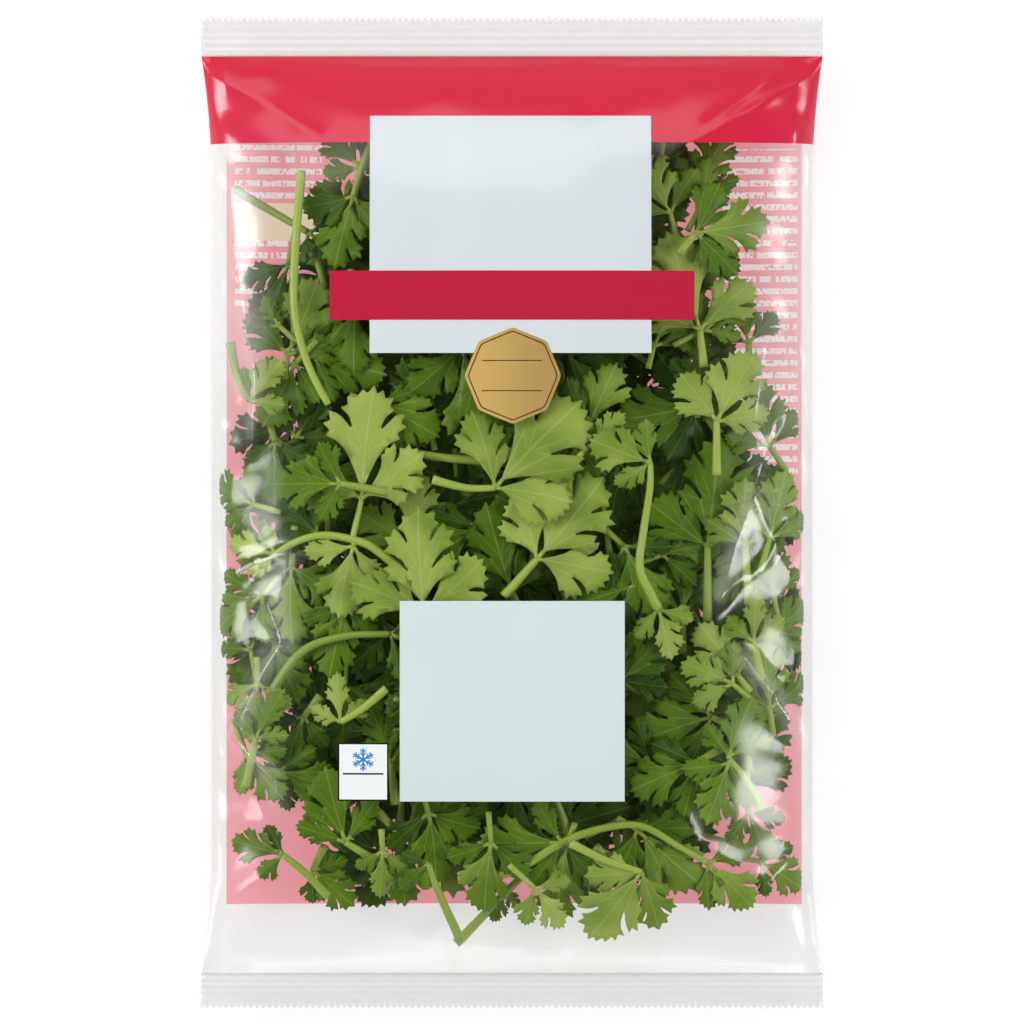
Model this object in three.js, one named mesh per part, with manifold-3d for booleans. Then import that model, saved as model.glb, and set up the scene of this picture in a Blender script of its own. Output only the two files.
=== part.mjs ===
// A sealed pillow bag of cut flat-leaf parsley, lying on its back.
//
// Millimetres. X runs across the bag, Y along it towards the top seal, and Z out of its front.
// The origin is under the middle of the bag, on the surface that it lies on.
//
// The bag is one sheet of film: a tube closed by a fin seam down its back and by a crimped seal at each end.
// The parsley lies in layers under the front of the film. Each sprig is one piece: a cut stem and its leaves.
// A leaf is three leaflets on one point, and each leaflet is a thin arched blade with a cut edge.
import * as THREE from "three";
import { mergeVertices } from "three/addons/utils/BufferGeometryUtils.js";
import Module from "manifold-3d";

const wasm = await Module();
wasm.setup();

// ---- Driving dimensions ----

const BAG_WIDTH = 150; // the empty bag, laid flat
const BAG_LENGTH = 239;
const TOP_SEAL = 9; // depth of each crimped end seal
const BOTTOM_SEAL = 8;
const WAIST = 2.4; // how far the filling draws each side in
const NECK = 30; // the length over which it does so
const SEAL_HEIGHT = 8; // the end seals lie this high
const FRONT_RISE = 19; // the front bulges this far above the seals
const BACK_DROP = 10; // the back would hang this far below them: it is pressed flat on the surface
const SHOULDER = 60; // the bulge grows over this length from each seal
const FILM = 0.6;

const LAYERS = 5; // of sprigs
const LAYER_PITCH = 3.2; // from one to the next: less near the edges, where the bag is thin
const FRONT_GAP = 2; // the film's inner face to the middle of the first layer
const BACK_GAP = 1.8; // and to the middle of the last
const CLEARANCE = 0.3; // between sprigs in neighbouring layers
const BLADE = 0.8; // a leaf blade's height
const ARCH = 0.5; // how far a leaflet's rib and rim stand off its middle surface
const CUT_RADIUS = 1.15; // a stem at its cut end
const TIP_RADIUS = 0.75; // and where it reaches a leaf

// ---- The bag's shape ----

const TOP = BAG_LENGTH / 2 - TOP_SEAL;
const BOTTOM = -BAG_LENGTH / 2 + BOTTOM_SEAL;
const SIDE_POWER = 2.6; // the cross-section is a superellipse of this power across

const fromSeal = (y, length) => THREE.MathUtils.clamp(Math.min(TOP - y, y - BOTTOM) / length, 0, 1);
const halfWidth = (y) => BAG_WIDTH / 2 - WAIST * (1 - (1 - fromSeal(y, NECK)) ** 2);
const bulge = (y) => (1 - (1 - fromSeal(y, SHOULDER)) ** 2.4) ** 0.75;
const section = (x, y, inset) => Math.sqrt(Math.max(0, 1 - (Math.abs(x) / (halfWidth(y) - inset)) ** SIDE_POWER));
const frontHeight = (y) => FILM + (FRONT_RISE - FILM) * bulge(y);
const backHeight = (y) => FILM + (BACK_DROP - FILM) * bulge(y);
const frontInside = (x, y) => SEAL_HEIGHT + (frontHeight(y) - FILM) * section(x, y, FILM);
const backInside = (x, y) => Math.max(FILM, SEAL_HEIGHT - (backHeight(y) - FILM) * section(x, y, FILM));

// ---- Solids ----

const toManifold = (geometry) => {
  const bare = geometry.clone();
  for (const name of Object.keys(bare.attributes)) if (name !== "position") bare.deleteAttribute(name);
  const merged = mergeVertices(bare, 1e-4);
  return new wasm.Manifold(
    new wasm.Mesh({
      numProp: 3,
      vertProperties: merged.attributes.position.array,
      triVerts: new Uint32Array(merged.index.array),
    }),
  );
};

const MERGED = 0.02; // edges shorter than this, left where solids cross, are closed up

const toGeometry = (solid) => {
  const { numProp, vertProperties, triVerts, numVert } = solid.simplify(MERGED).getMesh();
  const positions = new Float32Array(numVert * 3);
  for (let i = 0; i < numVert; i++) positions.set(vertProperties.subarray(i * numProp, i * numProp + 3), i * 3);
  const geometry = new THREE.BufferGeometry();
  geometry.setAttribute("position", new THREE.BufferAttribute(positions, 3));
  geometry.setIndex(new THREE.BufferAttribute(new Uint32Array(triVerts), 1));
  geometry.computeVertexNormals();
  return geometry;
};

const indexed = (points, triangles) => {
  const geometry = new THREE.BufferGeometry().setFromPoints(points);
  geometry.setIndex(triangles.flat());
  return geometry;
};

// Rings of the same number of points, joined in turn and closed by a flat cap at each end.
// Seen from the first ring, the points of each ring run clockwise.
function loft(rings) {
  const n = rings[0].length;
  const last = (rings.length - 1) * n;
  const triangles = [];
  for (let r = 0; r < rings.length - 1; r++)
    for (let i = 0; i < n; i++) {
      const [a, b] = [r * n + i, r * n + ((i + 1) % n)];
      triangles.push([a, b, b + n], [a, b + n, a + n]);
    }
  for (let i = 1; i < n - 1; i++) triangles.push([0, i + 1, i], [last, last + i, last + i + 1]);
  return indexed(rings.flat(), triangles);
}

const box = (x0, x1, y0, y1, z0, z1) =>
  toManifold(
    new THREE.BoxGeometry(x1 - x0, y1 - y0, z1 - z0).translate((x0 + x1) / 2, (y0 + y1) / 2, (z0 + z1) / 2),
  );

// ---- The bag ----

const RING_POINTS = 26;
const STATIONS = [0, 1.5, 4, 8, 14, 22, 33, 47, 70]; // cross-sections at these distances from each seal

// One cross-section of the bag, at y and shrunk by inset all round, which moves it on towards the middle too.
function bagRing(y, inset) {
  const ring = [];
  const shift = inset * (1 - fromSeal(y, SHOULDER)) * (y < 0 ? 1 : -1);
  for (let i = 0; i < RING_POINTS; i++) {
    const turn = (-2 * Math.PI * (i + 0.5)) / RING_POINTS;
    const [c, s] = [Math.cos(turn), Math.sin(turn)];
    const x = Math.sign(c) * Math.abs(c) ** (2 / SIDE_POWER) * (halfWidth(y) - inset);
    const height = s > 0 ? frontHeight(y) : backHeight(y);
    const z = SEAL_HEIGHT + s * (height - inset);
    ring.push(new THREE.Vector3(x, y + shift, Math.max(inset, z)));
  }
  return ring;
}

const bagLoft = (distances, inset) => {
  const stations = [...distances.map((d) => BOTTOM + d), 0, ...distances.map((d) => TOP - d).reverse()];
  return toManifold(loft(stations.map((y) => bagRing(y, inset))));
};

const TEETH = 60; // of the pinked edge, on each seal
const TOOTH_DEPTH = 1.1;
const SEAL_LAP = 0.5; // the seal is sunk into the bag's end by this much
const RIDGES = 4; // crimped across each seal
const RIDGE_HEIGHT = 0.35;
const RIDGE_START = 0.4; // from the edges of the crimped part

// An end seal: two thicknesses of film, crimped in ridges and cut with a pinked edge. side is 1 at the top.
function endSeal(inner, depth, side) {
  const edge = inner + side * depth;
  const outline = new THREE.Shape();
  outline.moveTo(-BAG_WIDTH / 2, inner - side * SEAL_LAP);
  for (let i = 0; i <= TEETH; i++) {
    const x = -BAG_WIDTH / 2 + (BAG_WIDTH * i) / TEETH;
    outline.lineTo(x, edge - (i % 2 ? 0 : side * TOOTH_DEPTH));
  }
  outline.lineTo(BAG_WIDTH / 2, inner - side * SEAL_LAP);
  outline.closePath();
  const cutter = new THREE.ExtrudeGeometry(outline, { depth: SEAL_HEIGHT, bevelEnabled: false });
  cutter.translate(0, 0, SEAL_HEIGHT / 2);

  const crimps = [new THREE.Vector2(inner - side, 0)];
  for (let i = 0; i <= 2 * RIDGES; i++) {
    const y = inner + side * (RIDGE_START + ((depth - TOOTH_DEPTH - 2 * RIDGE_START) * i) / (2 * RIDGES));
    crimps.push(new THREE.Vector2(y, i % 2 ? RIDGE_HEIGHT : 0));
  }
  crimps.push(new THREE.Vector2(edge + side, 0));
  const raised = (lift) => crimps.map(({ x, y }) => new THREE.Vector2(x, SEAL_HEIGHT + y + lift));
  const profile = new THREE.Shape([...raised(FILM), ...raised(-FILM).reverse()]);
  // The profile is drawn in Y and Z, and runs along X.
  const strip = new THREE.ExtrudeGeometry(profile, { depth: BAG_WIDTH + 2, bevelEnabled: false });
  strip.applyMatrix4(
    new THREE.Matrix4().makeBasis(
      new THREE.Vector3(0, 1, 0),
      new THREE.Vector3(0, 0, 1),
      new THREE.Vector3(1, 0, 0),
    ),
  );
  strip.translate(-BAG_WIDTH / 2 - 1, 0, 0);
  return toManifold(strip).intersect(toManifold(cutter));
}

const SEAM_END = 34; // the seam's flap stops this far from each end seal, where the back leaves the surface
const SEAM_WIDTH = 10;
const SEAM_GROOVE = 1.3; // the film is dented by this much, and the flap lies in the dent
const SEAM_ROOM = 0.6; // round the flap in the dent
const SLIT = 0.3; // beside the flap's root, where the two edges of the sheet meet

function bagFilm() {
  const [y0, y1] = [BOTTOM + SEAM_END, TOP - SEAM_END];
  const dent = (grow) =>
    box(
      -2 * SEAM_ROOM - grow,
      SEAM_WIDTH + SEAM_ROOM + grow,
      y0 - SEAM_ROOM - grow,
      y1 + SEAM_ROOM + grow,
      -1,
      SEAM_GROOVE + grow,
    );
  const outside = bagLoft(STATIONS, 0).subtract(dent(0));
  const inside = bagLoft(STATIONS.slice(1), FILM).subtract(dent(FILM));
  const flap = box(SLIT / 2, SEAM_WIDTH, y0, y1, 0, FILM);
  const flapRoot = box(SLIT / 2, SLIT / 2 + FILM, y0, y1, 0, SEAM_GROOVE + FILM / 2);
  const slit = box(-SLIT / 2, SLIT / 2, y0, y1, -1, SEAM_GROOVE + 2 * FILM);
  return outside
    .add(endSeal(TOP, TOP_SEAL, 1))
    .add(endSeal(BOTTOM, BOTTOM_SEAL, -1))
    .subtract(inside)
    .add(flap)
    .add(flapRoot)
    .subtract(slit);
}

// ---- The parsley ----

// The pitch of the layers at a point, and the height of one. Layer 0 lies under the front of the bag.
const pitchAt = (x, y) =>
  Math.min(LAYER_PITCH, (frontInside(x, y) - backInside(x, y) - FRONT_GAP - BACK_GAP) / (LAYERS - 1));
const layerHeight = (layer) => (x, y) => frontInside(x, y) - FRONT_GAP - layer * pitchAt(x, y);
const halfRoom = (x, y) => (pitchAt(x, y) - CLEARANCE) / 2;

// Half of a leaflet of length 1. Its edge runs from its base on: [across, along]. Its triangles join the leaf's
// point at 0, the point where it meets the next leaflet at 1, the edge from 2 on, then the tip and the rib.
const MIDDLE_LEAFLET = {
  edge: [
    [0.15, 0.33],
    [0.37, 0.48],
    [0.33, 0.69],
    [0.13, 0.6],
    [0.2, 0.85],
  ],
  triangles: [
    [0, 1, 2],
    [0, 2, 8],
    [2, 3, 8],
    [3, 4, 5],
    [3, 5, 8],
    [5, 6, 7],
    [5, 7, 8],
  ],
};
const SIDE_LEAFLET = {
  edge: [
    [0.17, 0.3],
    [0.32, 0.54],
    [0.12, 0.56],
    [0.2, 0.82],
  ],
  triangles: [
    [0, 1, 2],
    [0, 2, 7],
    [2, 3, 7],
    [3, 4, 7],
    [4, 5, 6],
    [4, 6, 7],
  ],
};
const RIB_AT = 0.5; // where along its rib a leaflet's surface has a point of its own
// The leaflets of a leaf from right to left: [turn in degrees, size against the middle one, shape].
// They stay clear of each other on the plane.
const LEAFLETS = [
  [-66, 0.8, SIDE_LEAFLET],
  [0, 1, MIDDLE_LEAFLET],
  [66, 0.8, SIDE_LEAFLET],
];
const HUB = 0.09; // leaflets meet at this distance from the leaf's point, for a leaf of length 1
const HUB_TURNS = [-120, -32, 32, 120]; // in these directions, in degrees

const radians = THREE.MathUtils.degToRad;

// A leaf on the plane: its points, the triangles between them, its rim in order, and the points on ribs.
function leafPlan([x, y, heading, length]) {
  const points = [new THREE.Vector2(x, y)];
  const rim = [];
  const ribs = new Set([0]);
  const triangles = [];
  const add = (turn, size, across, along) => {
    const angle = radians(heading + turn);
    const [c, s] = [Math.cos(angle) * size * length, Math.sin(angle) * size * length];
    points.push(new THREE.Vector2(x + c * along + s * across, y + s * along - c * across));
    return points.length - 1;
  };
  const hub = HUB_TURNS.map((turn) => add(turn, 1, 0, HUB));
  LEAFLETS.forEach(([turn, size, shape], k) => {
    const right = shape.edge.map(([across, along]) => add(turn, size, across, along));
    const tip = add(turn, size, 0, 1);
    const left = shape.edge.map(([across, along]) => add(turn, size, -across, along));
    const rib = add(turn, size, 0, RIB_AT);
    ribs.add(tip).add(rib);
    rim.push(hub[k], ...right, tip, ...[...left].reverse());
    const rightHalf = [0, hub[k], ...right, tip, rib];
    const leftHalf = [0, hub[k + 1], ...left, tip, rib];
    for (const [a, b, c] of shape.triangles) {
      triangles.push([rightHalf[a], rightHalf[b], rightHalf[c]]);
      triangles.push([leftHalf[a], leftHalf[c], leftHalf[b]]);
    }
  });
  rim.push(hub[3]);
  triangles.push([0, hub[3], hub[0]]);
  return { points, triangles, rim, ribs };
}

// A leaf as a solid: its plan lifted onto the surface at(x, y), with its ribs raised or lowered by arch.
function leafSolid({ points, triangles, rim, ribs }, at, arch) {
  const n = points.length;
  const middle = points.map(({ x, y }, i) => {
    const lift = Math.min(Math.abs(arch), halfRoom(x, y) - BLADE / 2) * Math.sign(arch);
    return at(x, y) + (ribs.has(i) ? lift : -lift);
  });
  const faces = [BLADE / 2, -BLADE / 2].flatMap((lift) =>
    points.map(({ x, y }, i) => new THREE.Vector3(x, y, middle[i] + lift)),
  );
  const skin = triangles.flatMap(([a, b, c]) => [
    [a, b, c],
    [a + n, c + n, b + n],
  ]);
  rim.forEach((i, k) => {
    const j = rim[(k + 1) % rim.length];
    skin.push([i, i + n, j + n], [i, j + n, j]);
  });
  return toManifold(indexed(faces, skin));
}

const STEM_SIDES = 5;
const STEM_STEP = 9; // the longest straight stretch of a stem
const STEM_SHORT = 0.2; // a stem stops short of its leaf's point by this much

const curveThrough = (points) => new THREE.CatmullRomCurve3(points.map(([x, y]) => new THREE.Vector3(x, y, 0)));

// A tapering stem through points on the plane, on the surface at(x, y).
function stemSolid(points, at, [startRadius, endRadius]) {
  const curve = curveThrough(points);
  const steps = Math.max(1, Math.round(curve.getLength() / STEM_STEP));
  const rings = [];
  for (let k = 0; k <= steps; k++) {
    const along = curve.getTangentAt(k / steps);
    const { x, y } = curve.getPointAt(k / steps).addScaledVector(along, k === steps ? -STEM_SHORT : 0);
    const radius = THREE.MathUtils.lerp(startRadius, endRadius, k / steps);
    const height = Math.min(radius, halfRoom(x, y));
    const ring = [];
    for (let i = 0; i < STEM_SIDES; i++) {
      const turn = (2 * Math.PI * i) / STEM_SIDES + Math.PI / 2;
      const across = Math.cos(turn) * radius;
      ring.push(
        new THREE.Vector3(x - along.y * across, y + along.x * across, at(x, y) + Math.sin(turn) * height),
      );
    }
    rings.push(ring);
  }
  return toManifold(loft(rings));
}

// Each sprig, from the front of the bag to the back: its stem from the cut end on, and its leaves,
// each [x, y, heading in degrees, length of the middle leaflet].
const SPRIGS = [
  { stem: [[-19, -40], [-21, -24]], leaves: [[-21, -24, 92, 26]] },
  { stem: [[-2, -20], [6, -11]], leaves: [[6, -11, 45, 26]] },
  { stem: [[-19, 8], [-11, 6], [-4, 6]], leaves: [[-4, 6, 48, 27]] },
  { stem: [[49, 9], [49, 22]], leaves: [[49, 22, 66, 20]] },
  { stem: [[60, -40], [58, -31]], leaves: [[58, -31, 88, 13]] },
  {
    stem: [[-25, -15], [-31, -10], [-36, -7], [-45, -5.3], [-52, -7], [-57, -10]],
    leaves: [[-57, -10, 162, 12], [-36, 3.5, 92, 26], [-38, -8, 250, 18]],
  },
  { stem: [[46, 35], [45, 44]], leaves: [[45, 44, 103, 25]] },
  {
    stem: [[35, -23], [33, -19], [30.5, -13], [31.5, -4], [33, 6], [33, 12]],
    leaves: [[33, 12, 157, 15], [35, -23, -78, 14]],
  },
  { stem: [[60, -71], [56, -64], [52, -59]], leaves: [[52, -58, 72, 15], [52, -60, 246, 17]] },
  {
    stem: [[-13, -88], [0, -86], [12, -79], [22, -75.5], [31, -75], [40, -80], [47, -84]],
    leaves: [[47, -84, -40, 16], [12, -79, 183, 20]],
  },
  { stem: [[57, -43], [54, -39]], leaves: [[54, -39, 122, 15]] },
  { stem: [[47, -26], [47, -8]], leaves: [[47, -8, 88, 27]] },
  { stem: [[-50.5, 82], [-52, 62], [-52, 48], [-49, 36], [-44, 26]], leaves: [] },
  { stem: [[14, -79], [22, -83], [31, -86]], leaves: [[31, -86, 238, 20]] },
  { stem: [[-12.5, -102.5], [-18, -90], [-20, -84]], leaves: [[-20, -84, 215, 10]] },
  { stem: [[-34, -70], [-27, -77]], leaves: [[-27, -77, -25, 24]] },
  { stem: [[-30, -42], [-36, -47], [-41, -50]], leaves: [[-41, -50, 100, 12.5]] },
  { stem: [[-52, -3], [-53, -13]], leaves: [[-53, -13, 268, 20]] },
  { stem: [[-2, 12.3], [-14, 13], [-24, 14.5]], leaves: [] },
  { stem: [[50, 19], [45, 26]], leaves: [[45, 26, 190, 22]] },
  { stem: [[40, 62], [44, 67]], leaves: [[44, 67, 10, 19]] },
  { stem: [[-30, -85], [-40, -79]], leaves: [[-40, -79, 108, 20]] },
  { stem: [[-44, -92], [-50, -86], [-55, -82]], leaves: [[-55, -82, 168, 12.5]] },
  { stem: [[-68, 41], [-66, 33], [-63, 27]], leaves: [[-63, 27, 48, 13]] },
  { stem: [[-33, 90], [-36, 83], [-38, 76]], leaves: [[-38, 76, 250, 18], [-36.4, 83, 134, 14]] },
  { stem: [[-13.5, -104], [-1, -91], [6, -84]], leaves: [[-2, -90, -105, 10]] },
  { stem: [[3, -26], [0, -19]], leaves: [[0, -19, 106, 22]] },
  { stem: [[-67, 78], [-49, 67.5]], leaves: [[-49, 67.5, -40, 12]] },
  { stem: [[-50, 44], [-47, 37]], leaves: [[-47, 37, -12, 18]] },
  { stem: [[-25, -30], [-30, -29]], leaves: [[-30, -29, 163, 18]] },
  { stem: [[-61, 31], [-57, 17]], leaves: [[-57, 17, 272, 15]] },
  { stem: [[56, -62], [57, -72]], leaves: [[57, -72, -66, 14]] },
  { stem: [[54, -52], [48, -49]], leaves: [[48, -49, 192, 21]] },
  { stem: [[57, 30], [57, 41]], leaves: [[57, 41, 104, 14]] },
  { stem: [[45, 68], [45, 78]], leaves: [[45, 78, 66, 15]] },
  { stem: [[41, -34], [41, -24]], leaves: [[41, -24, 88, 17]] },
  { stem: [[57, -62], [55.5, -50]], leaves: [[55.5, -50, 88, 17]] },
  { stem: [[57, -22], [56, -8]], leaves: [[56, -8, 88, 16]] },
  { stem: [[-59, -50], [-57, -42], [-50, -33], [-40, -29.5], [-29, -29]], leaves: [[-29, -29, -20, 17]] },
  { stem: [[-48, 66], [-45, 54]], leaves: [[-45, 54, 262, 15]] },
  { stem: [[-25, -18], [-25, -8]], leaves: [[-25, -8, 80, 20]] },
  { stem: [[14, 12], [18, 20]], leaves: [[18, 20, 62, 19]] },
  { stem: [[-45, -80], [-48, -86]], leaves: [[-48, -86, -38, 13]] },
  { stem: [[-64, -66], [-61.5, -54]], leaves: [[-61.5, -54, 62, 12.5]] },
  { stem: [[20, -46], [26, -40]], leaves: [[26, -40, 40, 17]] },
  { stem: [[-46, -44], [-50, -49]], leaves: [[-50, -49, 245, 14]] },
  { stem: [[-52, 68], [-54, 60]], leaves: [[-54, 60, 248, 18]] },
  { stem: [[-28, -70], [-29, -60]], leaves: [[-29, -60, 108, 13]] },
  { stem: [[-40, 20], [-33, 17]], leaves: [[-33, 17, 12, 16]] },
  { stem: [[51, -56], [44, -60]], leaves: [[44, -60, 205, 18]] },
  { stem: [[20, -80], [24, -84]], leaves: [[24, -84, -5, 18]] },
  { stem: [[-30, 5], [-41, 7]], leaves: [[-41, 7, 178, 16]] },
  { stem: [[6, 44], [0, 64]], leaves: [[0, 64, 95, 26]] },
  { stem: [[-20, 60], [-12, 40]], leaves: [[-12, 40, 280, 24]] },
  { stem: [[18, -24], [5, -42]], leaves: [[5, -42, 245, 25]] },
  { stem: [[14, -78], [8, -62]], leaves: [[8, -62, 75, 21]] },
  { stem: [[38, 97], [22, 88]], leaves: [[22, 88, 205, 22]] },
];


// The cells, 1 mm square, that a sprig covers, with about 1 mm to spare.
const CELL_ROWS = 400;
const cellOf = (x, y) => Math.round(x + CELL_ROWS / 2) * CELL_ROWS + Math.round(y + CELL_ROWS / 2);
const cellCentre = (cell) => [Math.floor(cell / CELL_ROWS) - CELL_ROWS / 2, (cell % CELL_ROWS) - CELL_ROWS / 2];

function footprint(plans, stems) {
  const cells = new Set();
  const mark = ({ x, y }) => {
    for (const dx of [-1, 0, 1]) for (const dy of [-1, 0, 1]) cells.add(cellOf(x + dx, y + dy));
  };
  for (const plan of plans)
    for (const t of plan.triangles) {
      const [a, b, c] = t.map((i) => plan.points[i]);
      const steps = Math.ceil(Math.max(a.distanceTo(b), a.distanceTo(c)));
      for (let i = 0; i <= steps; i++)
        for (let j = 0; i + j <= steps; j++) {
          const towardsB = b.clone().sub(a).multiplyScalar(i / steps);
          const towardsC = c.clone().sub(a).multiplyScalar(j / steps);
          mark(a.clone().add(towardsB).add(towardsC));
        }
    }
  for (const stem of stems) {
    const curve = curveThrough(stem);
    curve.getSpacedPoints(Math.ceil(curve.getLength())).forEach(mark);
  }
  return cells;
}

// A leaf that is not at the end of its sprig's stem has a stalk of its own, from the nearest point of the stem.
function stalks({ stem, leaves }) {
  const onStem = curveThrough(stem).getSpacedPoints(60);
  return leaves.flatMap(([x, y]) => {
    const leaf = new THREE.Vector3(x, y, 0);
    const nearest = onStem.reduce((best, p) => (p.distanceTo(leaf) < best.distanceTo(leaf) ? p : best));
    return nearest.distanceTo(leaf) < TIP_RADIUS ? [] : [[[nearest.x, nearest.y], [x, y]]];
  });
}

const covered = Array.from({ length: LAYERS }, () => new Set()); // the cells taken in each layer so far

// The first layer, from the front, in which a sprig is clear of those placed before it.
function layerFor(cells, name) {
  const thin = [...cells].map(cellCentre).filter(([x, y]) => halfRoom(x, y) < BLADE / 2);
  if (thin.length) throw new Error(`${name} runs into the bag's edge at ${thin[0]}`);
  const layer = covered.findIndex((taken) => ![...cells].some((cell) => taken.has(cell)));
  if (layer < 0) throw new Error(`${name} has no layer to lie in`);
  cells.forEach((cell) => covered[layer].add(cell));
  return layer;
}

function sprig(row, index) {
  const name = `sprig_${String(index + 1).padStart(2, "0")}`;
  const plans = row.leaves.map(leafPlan);
  const branches = stalks(row);
  const layer = layerFor(footprint(plans, [row.stem, ...branches]), name);
  const at = layerHeight(layer);
  const arch = index % 3 ? ARCH : -ARCH;
  const parts = [stemSolid(row.stem, at, [CUT_RADIUS, TIP_RADIUS])];
  for (const branch of branches) parts.push(stemSolid(branch, at, [TIP_RADIUS, TIP_RADIUS]));
  for (const plan of plans) parts.push(leafSolid(plan, at, arch));
  return { name, solid: wasm.Manifold.union(parts), layer };
}

// ---- The object ----

const FILM_MATERIAL = new THREE.MeshStandardMaterial({
  name: "film",
  color: 0xe9eae6,
  roughness: 0.2,
  metalness: 0,
  transparent: true,
  opacity: 0.3,
});
const GREENS = [0x7fa04a, 0x5c8a2c, 0x4a7526].map(
  (color, i) => new THREE.MeshStandardMaterial({ name: `parsley_${i}`, color, roughness: 0.55, metalness: 0 }),
);

const bag = new THREE.Group();

function place(name, solid, material) {
  const mesh = new THREE.Mesh(toGeometry(solid), material);
  mesh.name = name;
  bag.add(mesh);
}

place("bag_film", bagFilm(), FILM_MATERIAL);
SPRIGS.forEach((row, index) => {
  const { name, solid, layer } = sprig(row, index);
  place(name, solid, GREENS[Math.min(layer, GREENS.length - 1)]);
});

export default bag;
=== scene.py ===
"""A sealed clear bag of cut flat-leaf parsley, lying on its back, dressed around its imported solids.

Sizes are in millimetres, and become metres where a mesh is made. X runs across the bag, Y along it towards
the red band, and Z up, out of its printed front.
"""

import math
import random
from functools import reduce

import bpy
import numpy as np
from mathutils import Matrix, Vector, noise
from mathutils.geometry import delaunay_2d_cdt


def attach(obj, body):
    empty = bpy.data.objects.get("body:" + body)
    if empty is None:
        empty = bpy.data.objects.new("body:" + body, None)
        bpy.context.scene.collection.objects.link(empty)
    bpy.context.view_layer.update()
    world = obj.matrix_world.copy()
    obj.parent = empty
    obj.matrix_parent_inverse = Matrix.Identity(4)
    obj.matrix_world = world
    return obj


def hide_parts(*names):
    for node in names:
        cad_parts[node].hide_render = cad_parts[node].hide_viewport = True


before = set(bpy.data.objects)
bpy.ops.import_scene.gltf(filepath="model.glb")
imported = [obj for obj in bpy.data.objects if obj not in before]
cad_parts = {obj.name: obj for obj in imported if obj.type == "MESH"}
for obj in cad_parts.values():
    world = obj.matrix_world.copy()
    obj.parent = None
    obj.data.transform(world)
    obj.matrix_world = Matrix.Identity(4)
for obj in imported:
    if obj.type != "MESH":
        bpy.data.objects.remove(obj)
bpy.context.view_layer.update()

MM = 0.001


def toward(degrees):
    """A step of length 1 on the plane, turned that far from +X towards +Y."""
    return math.cos(math.radians(degrees)), math.sin(math.radians(degrees))


# ---- The bag's shape, as its solids have it ----

BAG_WIDTH = 150
BAG_LENGTH = 239
TOP_SEAL = 9
BOTTOM_SEAL = 8
TOP = BAG_LENGTH / 2 - TOP_SEAL  # where the end seals start
BOTTOM = -BAG_LENGTH / 2 + BOTTOM_SEAL
WAIST = 2.4  # how far the filling draws each side in
NECK = 30  # how far from a seal the sides are drawn in fully
SEAL_HEIGHT = 8  # of the plane that the seals lie in
FRONT_RISE = 19  # from that plane
BACK_DROP = 10
SHOULDER = 60  # how far from a seal the bag is at its full thickness
SHOULDER_POWERS = (2.4, 0.75)
SIDE_POWER = 2.6
FILM = 0.6

LAYERS = 5  # of sprigs, from the front
LAYER_PITCH = 3.2
FRONT_GAP = 2
BACK_GAP = 1.8


def from_seal(y, length):
    """0 at the nearer end seal, and 1 from length away on."""
    return np.clip(np.minimum(TOP - y, y - BOTTOM) / length, 0, 1)


def half_width(y):
    return BAG_WIDTH / 2 - WAIST * (1 - (1 - from_seal(y, NECK)) ** 2)


def bulge(y):
    """The bag's thickness along its middle, from 0 at the seals to 1."""
    bend, fullness = SHOULDER_POWERS
    return (1 - (1 - from_seal(y, SHOULDER)) ** bend) ** fullness


def section(x, y, inset=0.0):
    """The bag's thickness across, from 0 at its sides to 1 in the middle."""
    return np.sqrt(np.maximum(0, 1 - (np.abs(x) / (half_width(y) - inset)) ** SIDE_POWER))


def front_inside(x, y):
    return SEAL_HEIGHT + (FRONT_RISE - FILM) * bulge(y) * section(x, y, FILM)


def back_inside(x, y):
    return np.maximum(FILM, SEAL_HEIGHT - (BACK_DROP - FILM) * bulge(y) * section(x, y, FILM))


def pitch_at(x, y):
    room = front_inside(x, y) - back_inside(x, y) - FRONT_GAP - BACK_GAP
    return np.minimum(LAYER_PITCH, room / (LAYERS - 1))


def layer_height(layer):
    return lambda x, y: front_inside(x, y) - FRONT_GAP - layer * pitch_at(x, y)


# ---- The sprigs, as their solids have them ----

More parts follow.
